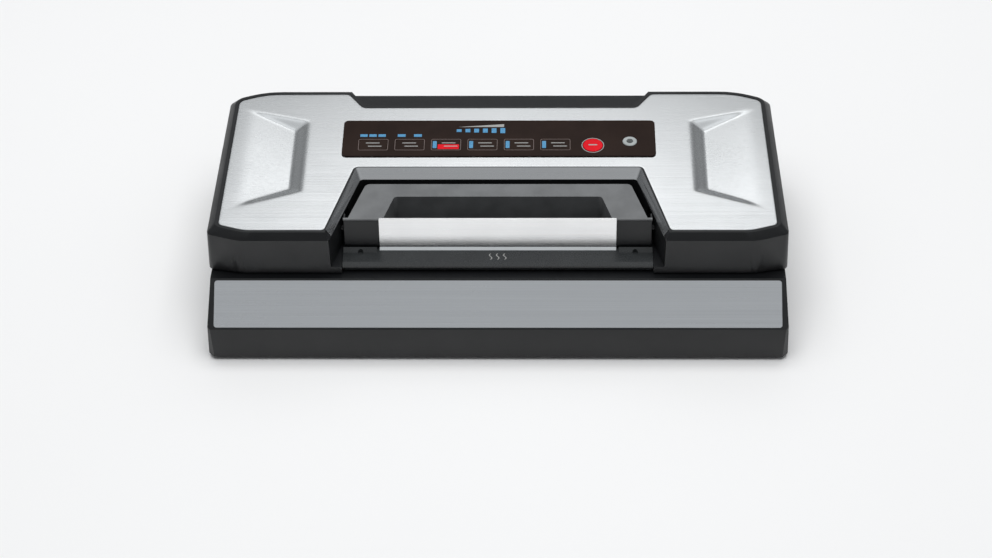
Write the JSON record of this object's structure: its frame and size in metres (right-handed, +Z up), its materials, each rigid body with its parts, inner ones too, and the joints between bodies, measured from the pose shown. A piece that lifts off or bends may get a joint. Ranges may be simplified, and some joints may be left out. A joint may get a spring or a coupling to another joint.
{
  "type": "vacuum sealer",
  "caption": "Countertop food vacuum sealer: wide low base with a sloping steel ledge, rear-hinged steel-skinned lid, control panel and a locking handle set in a front pocket.",
  "frame": {"origin": "centre of the bounding box in plan, on the surface that the feet stand on", "axes": "+X across the machine towards its accessory port side, +Y to the rear hinge, +Z up"},
  "size_m": [0.41, 0.1956, 0.0896],
  "materials": {
    "lid_plastic": "fine satin texture, moulded",
    "base_plastic": "fine satin texture, moulded",
    "brushed_skin": "satin stainless steel",
    "brushed_trim": "long-grain brushed stainless steel",
    "brushed_bar": "long-grain brushed stainless steel",
    "handle_plastic": "satin, moulded",
    "cap_plastic": "satin, moulded",
    "lip_plastic": "half-gloss, moulded",
    "panel_gloss": "glossy, dark brown",
    "key_gloss": "glossy, dark brown with a fine outline",
    "key_red": "glossy red",
    "blue_lens": "clear blue, lit",
    "port_rubber": "soft grey",
    "soft_gasket": "soft foam rubber",
    "seal_rubber": "silicone rubber",
    "foot_rubber": "soft rubber",
    "tray_plastic": "satin, moulded",
    "plain_steel": "turned steel",
    "black_steel": "blackened steel",
    "zinc_steel": "zinc plated",
    "screw_steel": "plated",
    "bar_aluminium": "extruded",
    "ribbon_metal": "nickel-chrome ribbon",
    "tape": "coated glass cloth",
    "core_steel": "varnished laminations",
    "coil_copper": "varnished copper under tape",
    "board_green": "solder resist",
    "pump_plastic": "moulded",
    "tube_silicone": "silicone tube",
    "inlet_plastic": "moulded"
  },
  "bodies": {
    "base": {"base_housing": "base_plastic", "vacuum_trough": "base_plastic", "bottom_cover": "base_plastic", "ledge_trim_strip": "brushed_trim", "lower_gasket": "soft_gasket", "drip_tray": "tray_plastic", "seal_rubber_strip": "seal_rubber", "latch_catches": "zinc_steel", "rubber_feet": "foot_rubber", "base_screws": "screw_steel", "hinge_pins": "plain_steel", "power_inlet": "inlet_plastic", "transformer_core": "core_steel", "transformer_coil": "coil_copper", "power_board": "board_green", "pump_motor": "zinc_steel", "pump_head": "pump_plastic", "pump_bracket": "zinc_steel", "vacuum_tube": "tube_silicone", "lid_switches": "inlet_plastic"},
    "pump_crank": {"pump_crank": "plain_steel"},
    "lid": {"lid_housing": "lid_plastic", "lid_top_plate": "brushed_skin", "lid_underside": "base_plastic", "lid_gasket": "soft_gasket", "front_lip": "lip_plastic", "lip_strip": "brushed_bar", "seal_bar": "bar_aluminium", "heating_wire": "ribbon_metal", "seal_tape": "tape", "control_panel": "panel_gloss", "status_lenses": "blue_lens", "progress_lenses": "blue_lens", "control_board": "board_green", "key_switches": "inlet_plastic", "accessory_port": "port_rubber", "port_tube": "tube_silicone", "lid_screws": "screw_steel"},
    "handle": {"handle_frame": "handle_plastic", "grip_bar": "brushed_bar", "end_cap_left": "cap_plastic", "end_cap_right": "cap_plastic", "pivot_shafts": "black_steel", "latch_hooks": "zinc_steel", "handle_screws": "screw_steel"},
    "key_1": {"key_1": "key_gloss"},
    "key_2": {"key_2": "key_gloss"},
    "key_3": {"key_3": "key_gloss"},
    "key_4": {"key_4": "key_gloss"},
    "key_5": {"key_5": "key_gloss"},
    "key_6": {"key_6": "key_gloss"},
    "pulse_key": {"pulse_key": "key_red"}
  },
  "joints": [
    {"name": "lid_hinge", "type": "hinge", "parent": "base", "child": "lid", "pos_m": [0, 0.092, 0.045], "axis": [-1, 0, 0], "range_deg": [0, 70]},
    {"name": "handle_pivot", "type": "hinge", "parent": "lid", "child": "handle", "pos_m": [0, -0.0365, 0.0715], "axis": [1, 0, 0], "range_deg": [0, 80]},
    {"name": "pump_spin", "type": "hinge", "parent": "base", "child": "pump_crank", "pos_m": [0.08, 0.058, 0.026], "axis": [1, 0, 0], "continuous": true},
    {"name": "key_1_press", "type": "slide", "parent": "lid", "child": "key_1", "axis": [0, 0, -1], "range_m": [0, 0.0006], "stiffness_N_per_m": 1200, "springref_m": -0.0004},
    {"name": "key_2_press", "type": "slide", "parent": "lid", "child": "key_2", "axis": [0, 0, -1], "range_m": [0, 0.0006], "stiffness_N_per_m": 1200, "springref_m": -0.0004},
    {"name": "key_3_press", "type": "slide", "parent": "lid", "child": "key_3", "axis": [0, 0, -1], "range_m": [0, 0.0006], "stiffness_N_per_m": 1200, "springref_m": -0.0004},
    {"name": "key_4_press", "type": "slide", "parent": "lid", "child": "key_4", "axis": [0, 0, -1], "range_m": [0, 0.0006], "stiffness_N_per_m": 1200, "springref_m": -0.0004},
    {"name": "key_5_press", "type": "slide", "parent": "lid", "child": "key_5", "axis": [0, 0, -1], "range_m": [0, 0.0006], "stiffness_N_per_m": 1200, "springref_m": -0.0004},
    {"name": "key_6_press", "type": "slide", "parent": "lid", "child": "key_6", "axis": [0, 0, -1], "range_m": [0, 0.0006], "stiffness_N_per_m": 1200, "springref_m": -0.0004},
    {"name": "pulse_key_press", "type": "slide", "parent": "lid", "child": "pulse_key", "axis": [0, 0, -1], "range_m": [0, 0.0006], "stiffness_N_per_m": 1200, "springref_m": -0.0004}
  ]
}
